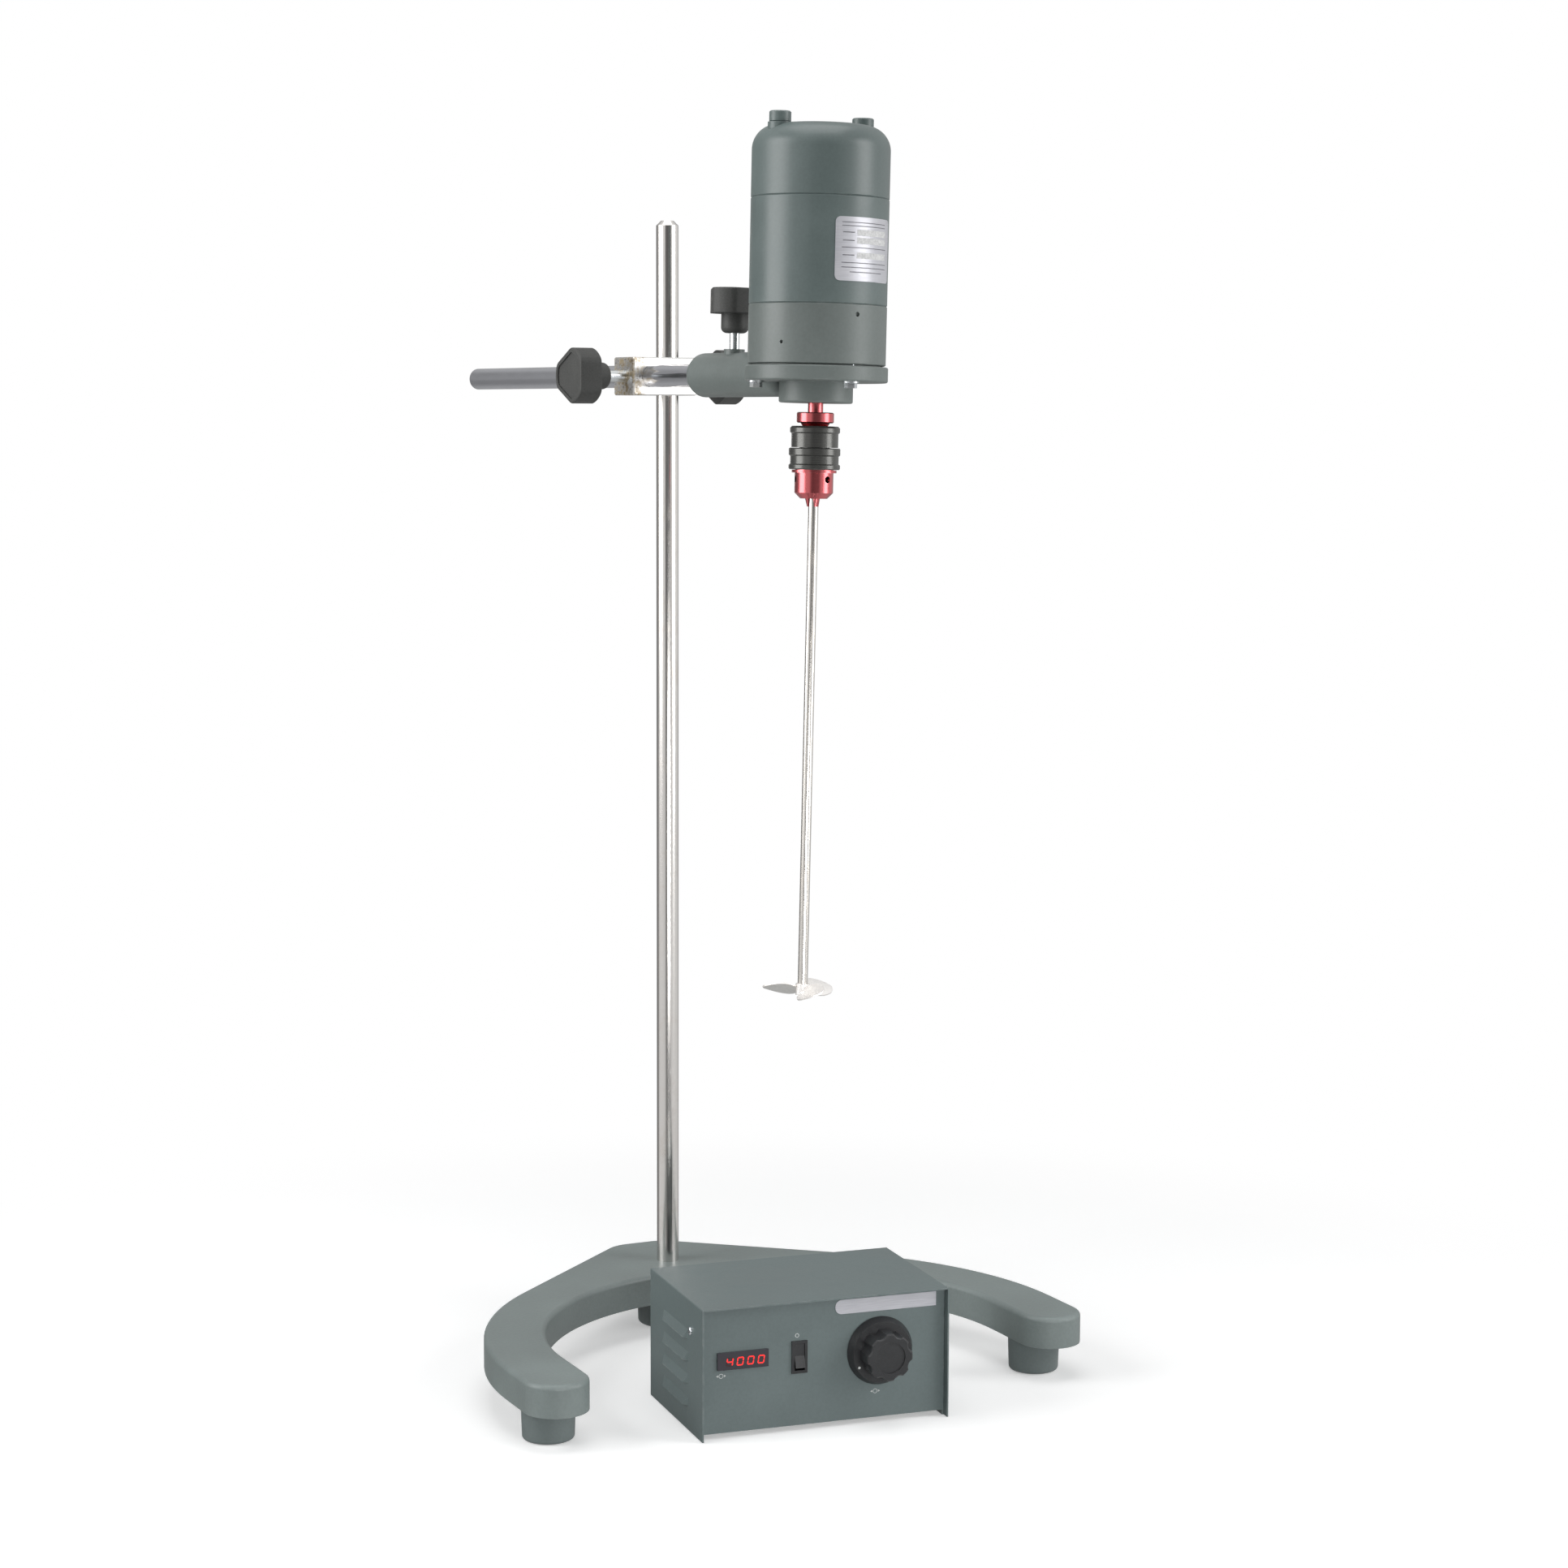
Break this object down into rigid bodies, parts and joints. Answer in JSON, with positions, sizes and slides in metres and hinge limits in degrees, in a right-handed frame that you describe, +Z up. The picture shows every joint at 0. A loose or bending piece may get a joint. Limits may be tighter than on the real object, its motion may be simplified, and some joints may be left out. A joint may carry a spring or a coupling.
{
  "type": "overhead laboratory stirrer",
  "caption": "Bench stirrer: horseshoe stand, round column, boss head and cross rod carrying a vertical motor, with chuck, propeller shaft and a separate speed regulator box.",
  "frame": {"origin": "on the bench, on the column axis, at the centre of the rear foot's underside", "axes": "+Z up the column; the stand opens and the motor hangs towards -Y; +X is to the right seen from the front"},
  "size_m": [0.492, 0.6462, 1.024],
  "materials": {
    "cast_iron_paint": "grey-green hammertone paint",
    "casting_paint": "grey-green paint over a die casting",
    "sheet_paint": "grey-green paint on sheet steel",
    "polished_rod": "polished stainless bar",
    "chrome_plate": "bright chrome plate",
    "zinc_plate": "bright zinc plate",
    "black_moulding": "fine matt phenolic",
    "black_dial": "satin black",
    "red_anodise": "red anodised",
    "black_anodise": "black anodised",
    "hardened_steel": "tinted hardened steel",
    "bearing_steel": "ground steel",
    "lamination": "varnished laminations",
    "copper_winding": "enamelled copper",
    "brass_fitting": "plain brass",
    "carbon": "pressed carbon",
    "insulation": "phenolic board",
    "circuit_board": "solder-masked board",
    "display_red": "smoked red acrylic",
    "transformer_iron": "varnished laminations"
  },
  "bodies": {
    "stand": {"base_casting": "cast_iron_paint", "foot_pads": "cast_iron_paint", "box_cover": "sheet_paint", "box_chassis": "sheet_paint", "cover_screws": "zinc_plate", "display_window": "display_red", "display_module": "circuit_board", "switch_housing": "black_dial", "potentiometer": "zinc_plate", "control_board": "circuit_board", "board_posts": "brass_fitting", "transformer": "transformer_iron", "transformer_screws": "zinc_plate", "cord_glands": "black_moulding", "fuse_holder": "black_moulding"},
    "column": {"column_rod": "polished_rod", "column_washer": "zinc_plate", "column_nut": "zinc_plate"},
    "boss_head": {"boss_head": "chrome_plate"},
    "rod_clamp_screw": {"rod_clamp_stud": "zinc_plate", "rod_clamp_knob": "black_moulding"},
    "column_clamp_screw": {"column_clamp_stud": "zinc_plate", "column_clamp_knob": "black_moulding"},
    "cross_rod": {"cross_rod": "polished_rod"},
    "motor_arm": {"motor_arm": "casting_paint", "motor_bolts": "zinc_plate", "lower_bell": "casting_paint", "motor_shell": "sheet_paint", "top_cover": "casting_paint", "tie_bolts": "zinc_plate", "cap_nuts": "casting_paint", "lead_gland": "black_moulding", "bearing_outer_races": "bearing_steel", "field_core": "lamination", "field_coils": "copper_winding", "carbon_brushes": "carbon", "brush_holders": "brass_fitting", "brush_ring": "insulation"},
    "arm_clamp_screw": {"arm_clamp_stud": "zinc_plate", "arm_clamp_knob": "black_moulding"},
    "rotor": {"bearing_inner_races": "bearing_steel", "motor_shaft": "bearing_steel", "armature_core": "lamination", "armature_winding": "copper_winding", "commutator": "copper_winding", "cooling_fan": "black_moulding", "chuck_arbor": "red_anodise", "chuck_body": "red_anodise", "chuck_rear_grip": "black_anodise"},
    "chuck_sleeve": {"chuck_sleeve": "black_anodise"},
    "chuck_jaw_1": {"chuck_jaw_1": "hardened_steel"},
    "chuck_jaw_2": {"chuck_jaw_2": "hardened_steel"},
    "chuck_jaw_3": {"chuck_jaw_3": "hardened_steel"},
    "stirring_shaft": {"stirring_shaft": "polished_rod", "propeller": "polished_rod"},
    "rocker": {"rocker": "black_dial"},
    "speed_knob": {"speed_knob": "black_dial", "dial_shaft": "bearing_steel"}
  },
  "joints": [
    {"name": "column_turn", "type": "hinge", "parent": "stand", "child": "column", "pos_m": [0, 0, 0.055], "axis": [0, 0, 1], "range_deg": [-180, 180]},
    {"name": "head_height", "type": "slide", "parent": "column", "child": "boss_head", "axis": [0, 0, 1], "range_m": [-0.22, 0.11]},
    {"name": "rod_clamp_turn", "type": "hinge", "parent": "boss_head", "child": "rod_clamp_screw", "pos_m": [-0.05991, -0.00842, 0.824], "axis": [-0.9903, -0.1392, 0], "range_deg": [0, 360]},
    {"name": "column_clamp_turn", "type": "hinge", "parent": "boss_head", "child": "column_clamp_screw", "pos_m": [0.03169, 0.00445, 0.824], "axis": [0.9903, 0.1392, 0], "range_deg": [0, 360]},
    {"name": "cross_rod_slide", "type": "slide", "parent": "boss_head", "child": "cross_rod", "axis": [0.1392, -0.9903, 0], "range_m": [-0.074, 0.25]},
    {"name": "arm_tilt", "type": "hinge", "parent": "cross_rod", "child": "motor_arm", "pos_m": [-0.00499, -0.1441, 0.824], "axis": [0.1392, -0.9903, 0], "range_deg": [-90, 90]},
    {"name": "arm_clamp_turn", "type": "hinge", "parent": "motor_arm", "child": "arm_clamp_screw", "pos_m": [-0.00427, -0.144, 0.85749], "axis": [0.0216, 0.003, 0.9998], "range_deg": [0, 360]},
    {"name": "rotor_spin", "type": "hinge", "parent": "motor_arm", "child": "rotor", "pos_m": [0.01143, -0.26095, 0.824], "axis": [0.0216, 0.003, 0.9998], "continuous": true},
    {"name": "sleeve_turn", "type": "hinge", "parent": "rotor", "child": "chuck_sleeve", "pos_m": [0.01, -0.26115, 0.75802], "axis": [0.0216, 0.003, 0.9998], "range_deg": [0, 360]},
    {"name": "jaw_1_slide", "type": "slide", "parent": "rotor", "child": "chuck_jaw_1", "axis": [0.2248, 0.1623, 0.9608], "range_m": [0, 0.0036]},
    {"name": "jaw_2_slide", "type": "slide", "parent": "rotor", "child": "chuck_jaw_2", "axis": [-0.2191, 0.0999, 0.9706], "range_m": [0, 0.0036]},
    {"name": "jaw_3_slide", "type": "slide", "parent": "rotor", "child": "chuck_jaw_3", "axis": [0.0569, -0.2534, 0.9657], "range_m": [0, 0.0036]},
    {"name": "shaft_slide", "type": "slide", "parent": "rotor", "child": "stirring_shaft", "axis": [-0.0216, -0.003, -0.9998], "range_m": [0, 0.03]},
    {"name": "rocker_tip", "type": "hinge", "parent": "stand", "child": "rocker", "pos_m": [-0.03282, -0.32341, 0.059], "axis": [0.9942, -0.108, 0], "range_deg": [0, 18]},
    {"name": "dial_turn", "type": "hinge", "parent": "stand", "child": "speed_knob", "pos_m": [0.03364, -0.33666, 0.058], "axis": [-0.108, -0.9942, 0], "range_deg": [-300, 0]}
  ],
  "couplings": [
    {"joint": "sleeve_turn", "follows": "jaw_1_slide", "rad_per_m": 1743.6},
    {"joint": "jaw_2_slide", "follows": "jaw_1_slide", "ratio": 1},
    {"joint": "jaw_3_slide", "follows": "jaw_1_slide", "ratio": 1}
  ]
}
